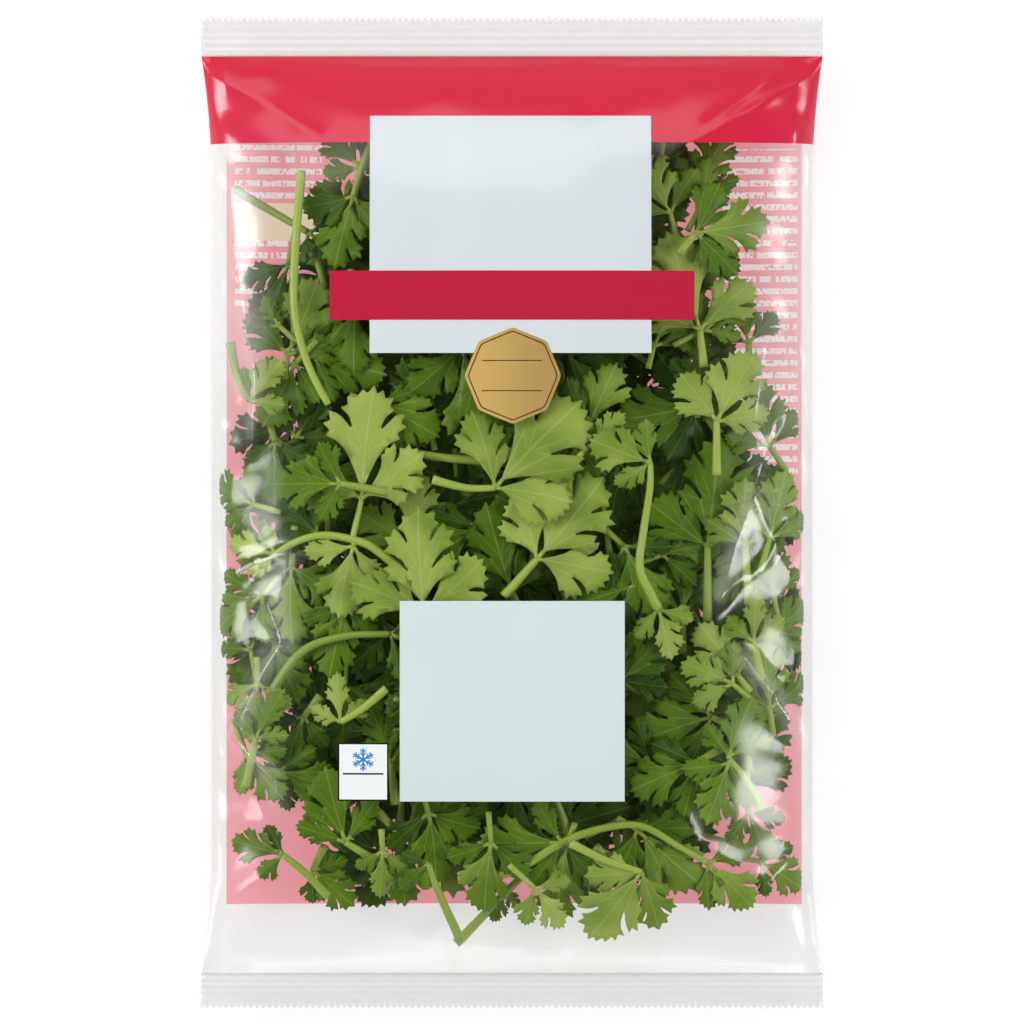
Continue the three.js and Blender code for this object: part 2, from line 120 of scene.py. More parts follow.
# (tone from 0, dark, to 1, bright, partly the sprig's own colour and partly painted light, set darker or
# brighter as light falls on the sprig; stem from its cut end; leaves as x, y, heading in degrees and
# length, without x and y where a leaf grows at the stem's end)
SPRIGS = [
    (0.85, [(-19, -40), (-21, -24)], [(92, 26)]), (0.9, [(-2, -20), (6, -11)], [(45, 26)]),
    (0.8, [(-19, 8), (-11, 6), (-4, 6)], [(48, 27)]), (0.8, [(49, 9), (49, 22)], [(66, 20)]),
    (0.7, [(60, -40), (58, -31)], [(88, 13)]),
    (0.9, [(-25, -15), (-31, -10), (-36, -7), (-45, -5.3), (-52, -7), (-57, -10)],
     [(162, 12), (-36, 3.5, 92, 26), (-38, -8, 250, 18)]),
    (0.85, [(46, 35), (45, 44)], [(103, 25)]),
    (0.7, [(35, -23), (33, -19), (30.5, -13), (31.5, -4), (33, 6), (33, 12)],
     [(157, 15), (35, -23, -78, 14)]),
    (0.6, [(60, -71), (56, -64), (52, -59)], [(52, -58, 72, 15), (52, -60, 246, 17)]),
    (0.55, [(-13, -88), (0, -86), (12, -79), (22, -75.5), (31, -75), (40, -80), (47, -84)],
     [(-40, 16), (12, -79, 183, 20)]),
    (0.8, [(57, -43), (54, -39)], [(122, 15)]), (0.4, [(47, -26), (47, -8)], [(88, 27)]),
    (0.8, [(-50.5, 82), (-52, 62), (-52, 48), (-49, 36), (-44, 26)], []),
    (0.8, [(14, -79), (22, -83), (31, -86)], [(238, 20)]),
    (0.5, [(-12.5, -102.5), (-18, -90), (-20, -84)], [(215, 10)]),
    (0.55, [(-34, -70), (-27, -77)], [(-25, 24)]),
    (0.85, [(-30, -42), (-36, -47), (-41, -50)], [(100, 12.5)]),
    (0.6, [(-52, -3), (-53, -13)], [(268, 20)]), (0.6, [(-2, 12.3), (-14, 13), (-24, 14.5)], []),
    (0.3, [(50, 19), (45, 26)], [(190, 22)]), (0.5, [(40, 62), (44, 67)], [(10, 19)]),
    (0.5, [(-30, -85), (-40, -79)], [(108, 20)]),
    (0.45, [(-44, -92), (-50, -86), (-55, -82)], [(168, 12.5)]),
    (0.7, [(-68, 41), (-66, 33), (-63, 27)], [(48, 13)]),
    (0.4, [(-33, 90), (-36, 83), (-38, 76)], [(250, 18), (-36.4, 83, 134, 14)]),
    (0.6, [(-13.5, -104), (-1, -91), (6, -84)], [(-2, -90, -105, 10)]),
    (0.25, [(3, -26), (0, -19)], [(106, 22)]), (0.3, [(-67, 78), (-49, 67.5)], [(-40, 12)]),
    (0.45, [(-50, 44), (-47, 37)], [(-12, 18)]), (0.45, [(-25, -30), (-30, -29)], [(163, 18)]),
    (0.35, [(-61, 31), (-57, 17)], [(272, 15)]), (0.5, [(56, -62), (57, -72)], [(-66, 14)]),
    (0.5, [(54, -52), (48, -49)], [(192, 21)]), (0.3, [(57, 30), (57, 41)], [(104, 14)]),
    (0.45, [(45, 68), (45, 78)], [(66, 15)]), (0.35, [(41, -34), (41, -24)], [(88, 17)]),
    (0.7, [(57, -62), (55.5, -50)], [(88, 17)]), (0.65, [(57, -22), (56, -8)], [(88, 16)]),
    (0.4, [(-59, -50), (-57, -42), (-50, -33), (-40, -29.5), (-29, -29)], [(-20, 17)]),
    (0.35, [(-48, 66), (-45, 54)], [(262, 15)]), (0.75, [(-25, -18), (-25, -8)], [(80, 20)]),
    (0.5, [(14, 12), (18, 20)], [(62, 19)]), (0.4, [(-45, -80), (-48, -86)], [(-38, 13)]),
    (0.6, [(-64, -66), (-61.5, -54)], [(62, 12.5)]), (0.25, [(20, -46), (26, -40)], [(40, 17)]),
    (0.3, [(-46, -44), (-50, -49)], [(245, 14)]), (0.3, [(-52, 68), (-54, 60)], [(248, 18)]),
    (0.4, [(-28, -70), (-29, -60)], [(108, 13)]), (0.6, [(-40, 20), (-33, 17)], [(12, 16)]),
    (0.35, [(51, -56), (44, -60)], [(205, 18)]), (0.4, [(20, -80), (24, -84)], [(-5, 18)]),
    (0.5, [(-30, 5), (-41, 7)], [(178, 16)]), (0.4, [(6, 44), (0, 64)], [(95, 26)]),
    (0.45, [(-20, 60), (-12, 40)], [(280, 24)]), (0.4, [(18, -24), (5, -42)], [(245, 25)]),
    (0.4, [(14, -78), (8, -62)], [(75, 21)]), (0.45, [(38, 97), (22, 88)], [(205, 22)]),
]


# ---- Materials ----


class Graph:
    """A material's or a sky's nodes, made by short calls. An input is a value or a node's output."""

    def __init__(self, name, kind=bpy.data.materials):
        self.look = kind.new(name)
        self.look.use_nodes = True
        self.tree = self.look.node_tree
        self.tree.nodes.clear()

    def node(self, kind, inputs=None, output=0, **settings):
        made = self.tree.nodes.new(kind)
        for key, value in settings.items():
            setattr(made, key, value)
        for key, value in (inputs or {}).items():
            socket = made.inputs[key]
            if isinstance(value, bpy.types.NodeSocket):
                self.tree.links.new(value, socket)
            elif socket.type == "RGBA" and len(value) == 3:
                socket.default_value = (*value, 1)
            else:
                socket.default_value = value
        return made.outputs if output is None else made.outputs[output]

    def place(self, output="Object"):
        return self.node("ShaderNodeTexCoord", None, output)

    def math(self, operation, a, b=0.0, c=0.0, clamp=False):
        return self.node("ShaderNodeMath", {0: a, 1: b, 2: c}, operation=operation, use_clamp=clamp)

    def times(self, *values):
        return reduce(lambda a, b: self.math("MULTIPLY", a, b), values)

    def most(self, *values):
        return reduce(lambda a, b: self.math("MAXIMUM", a, b), values)

    def vector(self, operation, a, b=(0, 0, 0), output="Vector"):
        return self.node("ShaderNodeVectorMath", {0: a, 1: b}, output, operation=operation)

    def attribute(self, name, output="Fac"):
        return self.node("ShaderNodeAttribute", None, output, attribute_name=name)

    def split(self, vector):
        return self.node("ShaderNodeSeparateXYZ", {0: vector}, None)

    def join(self, x, y, z=0.0):
        return self.node("ShaderNodeCombineXYZ", {0: x, 1: y, 2: z})

    def noise(self, vector, scale, detail):
        return self.node("ShaderNodeTexNoise", {"Vector": vector, "Scale": scale, "Detail": detail})

    def remap(self, value, low, high, to_low=0.0, to_high=1.0, interpolation="SMOOTHSTEP"):
        inputs = {0: value, 1: low, 2: high, 3: to_low, 4: to_high}
        return self.node("ShaderNodeMapRange", inputs, interpolation_type=interpolation)

    def mix(self, share, a, b):
        return self.node("ShaderNodeMix", {0: share, 6: a, 7: b}, 2, data_type="RGBA")

    def within(self, value, low, high):
        """1 from low to high, and 0 outside."""
        return self.math("COMPARE", value, (low + high) / 2, (high - low) / 2)

    def rectangle(self, xy, x0, x1, y0, y1):
        return self.times(self.within(xy[0], x0, x1), self.within(xy[1], y0, y1))

    def bump(self, height, distance, strength):
        return self.node("ShaderNodeBump", {"Height": height, "Distance": distance, "Strength": strength})

    def shader(self, kind, inputs):
        return self.node(f"ShaderNodeBsdf{kind}", inputs)

    def mix_shader(self, share, a, b):
        return self.node("ShaderNodeMixShader", {0: share, 1: a, 2: b})

    def finish(self, shader, kind="Material"):
        self.node(f"ShaderNodeOutput{kind}", {"Surface": shader}, None)
        return self.look


# The veins fan out from points on a leaflet's midrib: how far along it, the angle between them in radians,
# how far they run and how wide they are, all for a leaflet of length 1.
VEIN_FANS = [(0.0, 0.33, 0.8, 0.009), (0.34, 0.46, 0.5, 0.007), (0.6, 0.6, 0.36, 0.006)]
MIDRIB = 0.013  # how wide it is
VEIN_FADE = 2.5  # how steeply a vein fades towards its tip
VEIN_START = 12.0  # and how steeply it comes up at the midrib


def vein_mask(g, plan):
    """1 on a leaflet's veins, fading to 0 beside them."""
    across, along, _ = g.split(plan)
    across = g.math("ABSOLUTE", across)
    mask = g.math("MULTIPLY_ADD", across, -1 / MIDRIB, 1.0, clamp=True)
    for start, step, reach, width in VEIN_FANS:
        ahead = g.math("SUBTRACT", along, start)
        turn = g.math("PINGPONG", g.math("ARCTAN2", across, ahead), step / 2)
        away = g.vector("LENGTH", g.join(across, ahead), output="Value")
        near = g.math("MULTIPLY_ADD", g.times(turn, away), -1 / width, 1.0, clamp=True)
        tip = g.math("MULTIPLY_ADD", away, -VEIN_FADE, VEIN_FADE * reach, clamp=True)
        foot = g.math("MULTIPLY", ahead, VEIN_START, clamp=True)
        mask = g.most(mask, g.times(near, tip, foot))
    return mask


LEAF_DARK = (0.030, 0.088, 0.001)
LEAF_MIDDLE = (0.130, 0.255, 0.003)
LEAF_BRIGHT = (0.50, 0.64, 0.13)
LEAF_UNDER = (0.26, 0.37, 0.07)
LEAF_VEIN = (0.74, 0.84, 0.33)
LEAF_LIT = (0.42, 0.55, 0.03)  # what light that comes through a leaf turns to
LEAF_CLEAR = 0.3  # how much of the light comes through
PATCHES_PER_METRE = 75
UNEVEN = 0.6  # how much of the tone such patches change
STEM_DARK = (0.11, 0.20, 0.012)
STEM_BRIGHT = (0.36, 0.48, 0.075)
STEM_CUT = (0.60, 0.68, 0.28)


def uneven_tone(g, pattern):
    """How bright the plant is, made lighter and darker by a pattern around 0.5."""
    change = g.math("MULTIPLY_ADD", pattern, UNEVEN, -UNEVEN / 2)
    return g.math("ADD", g.attribute("tone_and_painted_light"), change, clamp=True)


def leaf_material():
    g = Graph("parsley_leaf")
    plan = g.attribute("plan", "Vector")
    seed = g.split(plan)[2]
    veins = vein_mask(g, plan)
    patches = g.noise(g.vector("ADD", g.place(), g.join(seed, seed, seed)), PATCHES_PER_METRE, 1)
    light = uneven_tone(g, patches)
    colour = g.mix(g.remap(light, 0.0, 0.5), LEAF_DARK, LEAF_MIDDLE)
    colour = g.mix(g.remap(light, 0.4, 1.0), colour, LEAF_BRIGHT)
    colour = g.mix(g.times(g.attribute("underneath"), 0.4), colour, LEAF_UNDER)
    colour = g.mix(g.times(veins, g.math("MULTIPLY_ADD", light, 0.3, 0.15)), colour, LEAF_VEIN)
    normal = g.bump(patches, 0.00035, 0.7)
    gloss = {"Roughness": g.remap(patches, 0.3, 0.7, 0.38, 0.52), "Specular IOR Level": 0.3}
    surface = g.shader("Principled", {"Base Color": colour, "Normal": normal} | gloss)
    glow = g.shader("Translucent", {"Color": g.mix(0.5, colour, LEAF_LIT), "Normal": normal})
    return g.finish(g.mix_shader(LEAF_CLEAR, surface, glow))


def stem_material():
    g = Graph("parsley_stem")
    around, along, seed = g.split(g.attribute("plan", "Vector"))
    streaks = g.noise(g.join(g.times(around, 9.0), g.times(along, 0.06), seed), 2.2, 3)
    colour = g.mix(uneven_tone(g, streaks), STEM_DARK, STEM_BRIGHT)
    colour = g.mix(g.attribute("cut"), colour, STEM_CUT)
    gloss = g.remap(streaks, 0.3, 0.7, 0.3, 0.45)
    normal = g.bump(streaks, 0.0002, 0.6)
    return g.finish(g.shader("Principled", {"Base Color": colour, "Roughness": gloss, "Normal": normal}))


# The front's print: colours as the inks look in daylight, and boxes of x0, x1, y0, y1.
RED = (0.60, 0.016, 0.05)
CRIMSON = (0.46, 0.014, 0.044)
PANEL_WHITE = (0.60, 0.655, 0.675)
LABEL_BLUE = (0.60, 0.69, 0.69)
ICON_WHITE = (0.80, 0.83, 0.83)
GOLD = (0.55, 0.36, 0.11)
# the gold's darker side: painted shade that darkens the badge from left to right
GOLD_PAINTED_SHADE = (0.40, 0.26, 0.085)
GOLD_LINE = (0.08, 0.045, 0.015)
INK = (0.012, 0.012, 0.014)
SNOW_BLUE = (0.04, 0.22, 0.55)
BARE = (0.9, 0.9, 0.9)
BAND = (-80, 80, 88.8, 110.1)
PANEL = (-34.0, 33.3, 38.2, 95.2)
STRIP = (-43.6, 43.6, 46.1, 57.9)
LABEL = (-26.8, 26.9, -68.9, -21.0)
ICON = (-41.6, -29.5, -68.8, -54.9)
ICON_RIM = 0.35
ICON_RULE = (-40.4, -30.7, -62.5, -62.1)
SNOWFLAKE = (-35.55, -58.9, 2.7)  # centre and how far its arms reach
PRINTS = [(BAND, RED), (PANEL, PANEL_WHITE), (STRIP, CRIMSON), (LABEL, LABEL_BLUE), (ICON, ICON_WHITE)]
BADGE = (0.2, 32.8, 10.7)  # centre, and from there to the middle of a side
BADGE_ROUNDING = 0.9
BADGE_RIM = (1.0, 0.7)  # a thin line's reach, in from each side
BADGE_RULES = [(-7.2, 7.2, y - 0.13, y + 0.13) for y in (36.4, 29.2)]

# The back's print, which is see-through.
BACK_PRINT = (-69, 70, -94.5, 100)
PINK = (0.97, 0.34, 0.40)
PINK_PALE = (0.98, 0.52, 0.56)
BACK_BOX = (-67, -48, 66, 75)
BACK_CREAM = (0.93, 0.80, 0.62)
COLUMNS = [(-67, -46, 50, 89), (51, 69, 8, 88)]  # of small marks in rows
ROW_PITCH = 2.9
MARK_WHITE = (0.98, 0.93, 0.93)

CLEAR = (0.945, 0.942, 0.935)  # what one thickness of the film lets through
# the colour of the film's milky haze, and of the highlights painted on the front's folds and upper sides
MILKY_AND_PAINTED_GLARE = (0.78, 0.77, 0.76)
FILM_ROUGHNESS = 0.17
WHITE = (1, 1, 1)
FLOOR_GREY = (0.32, 0.32, 0.32)
FLOOR_GLOW = 0.7


def badge_distance(g, xy):
    """How far a point is from the badge's middle, measured square to the nearest of its eight sides."""
    offset = g.vector("SUBTRACT", g.join(xy[0], xy[1]), (*BADGE[:2], 0))
    reaches = []
    for turn in (22.5, 67.5, 112.5, 157.5):
        reach = g.vector("DOT_PRODUCT", offset, (*toward(turn), 0), output="Value")
        reaches.append(g.math("ABSOLUTE", reach))
    return reduce(lambda a, b: g.math("SMOOTH_MAX", a, b, BADGE_ROUNDING), reaches)


def snowflake(g, xy):
    """1 on a six-armed snowflake."""
    cx, cy, size = SNOWFLAKE
    dx, dy = g.math("SUBTRACT", xy[0], cx), g.math("SUBTRACT", xy[1], cy)
    turn = g.math("ADD", g.math("ARCTAN2", dx, dy), math.pi * 2 + math.pi / 6)
    turn = g.math("MODULO", turn, math.pi / 3)
    turn = g.math("ABSOLUTE", g.math("SUBTRACT", turn, math.pi / 6))
    radius = g.vector("LENGTH", g.join(dx, dy), output="Value")
    along = g.times(radius, g.math("COSINE", turn))
    aside = g.times(radius, g.math("SINE", turn))
    arm = g.times(g.within(aside, -0.09 * size, 0.09 * size), g.within(along, 0.0, size))
    for start in (0.35, 0.62):
        slope = g.math("SUBTRACT", g.math("SUBTRACT", along, start * size), aside)
        twig = g.times(g.within(slope, -0.08 * size, 0.08 * size), g.within(aside, 0, 0.27 * size))
        arm = g.most(arm, twig)
    return arm


def icon_print(g, xy, colour):
    """The small square's rim, rule and snowflake over colour."""
    x0, x1, y0, y1 = ICON
    inner = g.rectangle(xy, x0 + ICON_RIM, x1 - ICON_RIM, y0 + ICON_RIM, y1 - ICON_RIM)
    rim = g.math("SUBTRACT", g.rectangle(xy, *ICON), inner)
    colour = g.mix(g.most(rim, g.rectangle(xy, *ICON_RULE)), colour, INK)
    return g.mix(snowflake(g, xy), colour, SNOW_BLUE)


def badge_print(g, xy, colour):
    """The gold badge over colour, and 1 where it is."""
    away, reach = badge_distance(g, xy), BADGE[2]
    badge = g.math("LESS_THAN", away, reach)
    # painted shade: the gold turns darker from left to right across the badge
    colour = g.mix(badge, colour, g.mix(g.remap(xy[0], -9, 9), GOLD, GOLD_PAINTED_SHADE))
    rim = g.within(away, reach - BADGE_RIM[0], reach - BADGE_RIM[1])
    lines = g.most(rim, *[g.rectangle(xy, *rule) for rule in BADGE_RULES])
    return g.mix(lines, colour, GOLD_LINE), badge


def front_print(g, xy):
    """The opaque print on the front: its colour, and 1 where there is any."""
    colour, masks = BARE, []
    for box, ink in PRINTS:
        masks.append(g.rectangle(xy, *box))
        colour = g.mix(masks[-1], colour, ink)
    colour, badge = badge_print(g, xy, icon_print(g, xy, colour))
    return colour, g.most(*masks, badge)


def back_print(g, xy):
    """The print on the back: pink, with a blank box and two columns of marks in broken rows."""
    x, y, _ = xy
    box = g.rectangle(xy, *BACK_BOX)
    column = g.most(*[g.rectangle(xy, *place) for place in COLUMNS])
    row = g.math("DIVIDE", y, ROW_PITCH)
    groups = g.noise(g.join(g.times(x, 0.55), g.times(g.math("FLOOR", row), 7.3)), 1.0, 1)
    marks = g.noise(g.join(g.times(x, 1.5), y), 1.0, 0)
    marks = g.times(g.math("GREATER_THAN", groups, 0.36), g.math("GREATER_THAN", marks, 0.38))
    marks = g.times(marks, g.within(g.math("FRACT", row), 0.25, 0.75), column)
    colour = g.mix(g.noise(g.place(), 22, 2), PINK, PINK_PALE)
    colour = g.mix(box, g.mix(marks, colour, MARK_WHITE), BACK_CREAM)
    return colour, g.rectangle(xy, *BACK_PRINT)


def film_material(name, ink_of=None, solid=1.0):
    """Clear film, with the print that ink_of gives. solid is how much of the print is opaque ink."""
    g = Graph(name)
    tint, cover = CLEAR, 0.0
    if ink_of:
        colour, cover = ink_of(g, g.split(g.vector("MULTIPLY", g.place(), (1 / MM,) * 3)))
        tint = g.mix(cover, CLEAR, colour)
        cover = g.times(cover, solid)
    clear = g.shader("Transparent", {"Color": tint})
    # the milky part is the film's haze, and on the front's folds and upper sides also painted highlights
    body = g.mix_shader(g.attribute("haze_and_painted_glare"), clear, g.shader("Diffuse", {"Color": MILKY_AND_PAINTED_GLARE}))
    if ink_of:
        body = g.mix_shader(cover, body, g.shader("Diffuse", {"Color": colour}))
    gloss = g.shader("Glossy", {"Color": WHITE, "Roughness": FILM_ROUGHNESS})
    facing = g.node("ShaderNodeLayerWeight", {"Blend": 0.5}, "Facing")
    mirror = g.math("MULTIPLY_ADD", g.math("POWER", facing, 5.0), 0.96, 0.04)
    return g.finish(g.mix_shader(mirror, body, gloss))


def floor_material():
    """A white table that is lit from within, so that the bag's back is seen against light."""
    g = Graph("studio_floor")
    glow = {"Emission Color": WHITE, "Emission Strength": FLOOR_GLOW}
    look = g.finish(g.shader("Principled", {"Base Color": FLOOR_GREY, "Roughness": 0.7} | glow))
    look.cycles.emission_sampling = "NONE"
    return look


# ---- Meshes ----


def add_object(name, data):
    made = bpy.data.objects.new(name, data)
    bpy.context.scene.collection.objects.link(made)
    return made


def make_mesh(name, points, faces, attributes, materials, indices=None):
    """A smooth object from points in millimetres. attributes hold a value or a vector for each point."""
    mesh = bpy.data.meshes.new(name)
    mesh.from_pydata([tuple(c * MM for c in p) for p in points], [], faces)
    for material in materials:
        mesh.materials.append(material)
    if indices:
        mesh.polygons.foreach_set("material_index", indices)
    for key, values in attributes.items():
        kind, part = ("FLOAT_VECTOR", "vector") if isinstance(values[0], tuple) else ("FLOAT", "value")
        flat = np.asarray(values, dtype=np.float32).ravel()
        mesh.attributes.new(key, kind, "POINT").data.foreach_set(part, flat)
    mesh.polygons.foreach_set("use_smooth", [True] * len(mesh.polygons))
    mesh.update()
    return add_object(name, mesh)


class Build:
    """Points, faces and what they carry, gathered for one piece of leaves and stems."""

    LEAF, STEM = 0, 1
    CARRIED = ("plan", "tone_and_painted_light", "underneath", "cut")

    def __init__(self):
        self.points, self.carried, self.faces, self.kinds = [], [], [], []

    def point(self, place, plan, tone_and_painted_light, underneath=0.0, cut=0.0):
        self.points.append(place)
        self.carried.append((plan, tone_and_painted_light, underneath, cut))
        return len(self.points) - 1

    def face(self, corners, kind):
        self.faces.append(corners)
        self.kinds.append(kind)

    def piece(self, name):
        attributes = dict(zip(self.CARRIED, zip(*self.carried)))
        looks = [LEAF_LOOK, STEM_LOOK]
        made = make_mesh(name, self.points, self.faces, attributes, looks, self.kinds)
        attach(made, "root")
        return made


# ---- Leaves and stems ----


def half_outline(*points):
    """Half of a leaflet's edge from base to tip, given as (across, along) in per cent of its length."""
    return [(across / 100, along / 100) for across, along in points]


WEDGE = half_outline(
    (3, 5), (8, 17), (14.5, 30), (21.5, 40), (29, 46.5), (39, 50.5), (35.5, 56), (44.5, 62.5), (37, 66),
    (39.5, 75.5), (31.5, 73.5), (25, 69), (16.5, 59.5), (15.5, 61.5), (19.5, 71), (28.5, 78.5),
    (22, 82), (24.5, 91), (15, 89), (11, 97.5), (5, 94),
)
FAN = half_outline(
    (3.5, 5), (11, 14.5), (20, 22.5), (30, 28), (41.5, 31.5), (38.5, 37.5), (50, 42.5), (42.5, 47.5),
    (49.5, 56.5), (40.5, 56.5), (40.5, 64.5), (33.5, 60.5), (25.5, 54), (17, 45.5), (16, 48),
    (21.5, 58.5), (28.5, 65.5), (38, 71), (30.5, 74), (34, 83.5), (24.5, 82), (23.5, 92), (15, 89),
    (11, 97.5), (4.5, 93.5),
)
LOBED = half_outline(
    (3.5, 6), (10.5, 14.5), (18.5, 22), (28, 27), (38.5, 29), (35, 34.5), (43.5, 41), (35, 43.5),
    (33, 50.5), (25.5, 46), (19, 41), (14, 36), (13.5, 38.5), (20, 47.5), (28.5, 54), (39.5, 58.5),
    (34, 64), (40.5, 73.5), (31, 73), (28.5, 81), (21.5, 74.5), (13, 63.5), (12.5, 66), (16.5, 75),
    (24, 82), (18, 85.5), (18.5, 94), (8, 92.5),
)
NARROW = half_outline(
    (3, 6), (7, 18), (12, 30), (18, 39.5), (28, 45.5), (23, 51.5), (31.5, 59), (23.5, 62), (22.5, 69),
    (16.5, 63), (12.5, 56.5), (12, 59), (16.5, 68), (25.5, 75.5), (19.5, 79), (21, 88), (12, 87),
    (9.5, 96), (3.5, 93.5),
)
SMALL_PAIRS = [(NARROW, NARROW), (NARROW, WEDGE), (WEDGE, NARROW), (NARROW, LOBED)]
PAIRS = [(WEDGE, WEDGE), (WEDGE, FAN), (FAN, WEDGE), (LOBED, WEDGE), (WEDGE, LOBED), (LOBED, LOBED)]
BLADE = 0.28  # a leaflet's thickness
LEAFLETS = [(-56, 0.7, -0.26), (0, 1.0, 0.16), (56, 0.7, -0.05)]  # (turn in degrees, size, lift)
SMALL = 13  # a leaflet shorter than this has one of the narrow outlines
STALK = 0.08  # of a leaflet's length, between the leaf's point and the leaflet's blade
FINE, COARSE = 0.08, 0.16  # spacing of the points inside a leaflet of length 1
CORNER = 0.11  # how much of each edge a rounded corner takes
DRAWN_IN_X = (65, 71)  # where points start to be drawn in from the bag's edges, and what none passes
DRAWN_IN_Y = (101, 108)


def rounded(points):
    """A closed outline with its corners cut a little."""
    result = []
    for a, b in zip(points, points[1:] + points[:1]):
        for share in (CORNER, 1 - CORNER):
            result.append((a[0] + (b[0] - a[0]) * share, a[1] + (b[1] - a[1]) * share))
    return result


def inside(p, outline):
    """True where a ray from p crosses the outline an odd number of times."""
    hits = False
    for (x0, y0), (x1, y1) in zip(outline, outline[1:] + outline[:1]):
        if (y0 > p[1]) != (y1 > p[1]) and p[0] < (x1 - x0) * (p[1] - y0) / (y1 - y0) + x0:
            hits = not hits
    return hits


def clear_of(p, outline, gap):
    return all((p[0] - x) ** 2 + (p[1] - y) ** 2 > gap * gap for x, y in outline)


def leaflet_plan(rng, small, spacing):
    """A leaflet of length 1: its points (across, along), its triangles and the edges of its rim."""
    halves = []
    for half, sign in zip(rng.choice(SMALL_PAIRS if small else PAIRS), (1, -1)):
        wide = sign * rng.uniform(0.82, 1.02)
        halves.append([(wide * a * rng.uniform(0.97, 1.03), b * rng.uniform(0.99, 1.01)) for a, b in half])
    outline = [(0.0, 0.0)] + halves[0] + [(0.0, 1.02)] + halves[1][::-1]
    if spacing == FINE:
        outline = rounded(outline)
    rib = [(0.0, 0.06 + 0.86 * k / 9) for k in range(10)]
    inner = []
    rows = int(1 / spacing)
    for j in range(rows):
        for i in range(-rows // 2, rows // 2 + 1):
            x = (i + (j % 2) / 2 + rng.uniform(-0.2, 0.2)) * spacing
            y = (j + 0.5 + rng.uniform(-0.2, 0.2)) * spacing
            if abs(x) > 0.035 and inside((x, y), outline) and clear_of((x, y), outline, 0.35 * spacing):
                inner.append((x, y))
    count = len(outline)
    edges = [(i, (i + 1) % count) for i in range(count)]
    edges += [(count + k, count + k + 1) for k in range(len(rib) - 1)]
    points = [Vector(p) for p in outline + rib + inner]
    found, _, triangles, *_ = delaunay_2d_cdt(points, edges, [], 1, 1e-6)
    triangles = [tuple(t) for t in triangles]
    sides = {edge for a, b, c in triangles for edge in ((a, b), (b, c), (c, a))}
    rim = [(a, b) for a, b in sides if (b, a) not in sides]
    return np.array([tuple(p) for p in found]), triangles, sorted(rim)


def soft_limit(value, start, limit):
    """value, drawn in smoothly past start so that it never goes past limit."""
    over = np.maximum(np.abs(value) - start, 0) / (limit - start)
    return np.sign(value) * (np.minimum(np.abs(value), start) + (limit - start) * np.tanh(over))


def contained(x, y):
    """A place on the plane, drawn in from the bag's edges."""
    return soft_limit(x, *DRAWN_IN_X), soft_limit(y, *DRAWN_IN_Y)


def add_leaflet(build, rng, plan, x, y, heading, length, at, arch, tone_and_painted_light, lift, room):
    """One leaflet's blade, with its base at (x, y)."""
    flat, triangles, rim = plan
    across, along = flat.T
    c, s = toward(heading)
    bend = rng.uniform(-0.1, 0.1)
    curl, twist, pleat = rng.uniform(-1.5, 1.1), rng.uniform(-1.3, 1.3), rng.uniform(0.15, 0.4)
    seed = rng.uniform(0, 40)
    aside = across + bend * along**2
    px, py = contained(x + length * (c * along + s * aside), y + length * (s * along - c * aside))
    wide = np.abs(across)
    off = arch * (1 - 3.6 * wide) + 1.6 * curl * (along - 0.4) ** 2 + twist * across * along
    off += pleat * np.cos(10 * np.arctan2(wide, along + 0.02)) * (along + wide)
    off += 0.25 * np.sin(0.55 * px + seed) * np.cos(0.5 * py + 1.7 * seed)
    limit = room(px, py)
    height = at(px, py) + limit * np.tanh(off / limit) + lift
    first = len(build.points)
    count = len(px)
    for side, underneath in ((0.5, 0.0), (-0.5, 1.0)):
        places = np.stack([px, py, height + side * BLADE], axis=-1).tolist()
        for place, (a, b) in zip(places, flat.tolist()):
            build.point(place, (a, b, seed), tone_and_painted_light, underneath)
    for a, b, c in triangles:
        build.face((first + a, first + b, first + c), Build.LEAF)
        build.face((first + count + a, first + count + c, first + count + b), Build.LEAF)
    for a, b in rim:
        build.face((first + b, first + a, first + count + a, first + count + b), Build.LEAF)


def curve_point(t, *around):
    """The point at share t of the way from the second to the third of four points on a smooth curve."""
    weights = ((2 * t - t * t) * t - t, (3 * t - 5) * t * t + 2, (4 - 3 * t) * t * t + t, (t - 1) * t * t)
    return tuple(sum(w * p[i] for w, p in zip(weights, around)) / 2 for i in (0, 1))


def curve_through(points, step):
    """Points every step or so along a smooth curve through points."""
    ends = [points[0], *points, points[-1]]
    result = []
    for around in zip(ends, ends[1:], ends[2:], ends[3:]):
        count = max(1, round(math.dist(around[1], around[2]) / step))
        result += [curve_point(k / count, *around) for k in range(count)]
    return result + [ends[-1]]


STEM_STEP = 1.6  # between a stem's rings
STEM_SIDES, STALK_SIDES = 12, 8


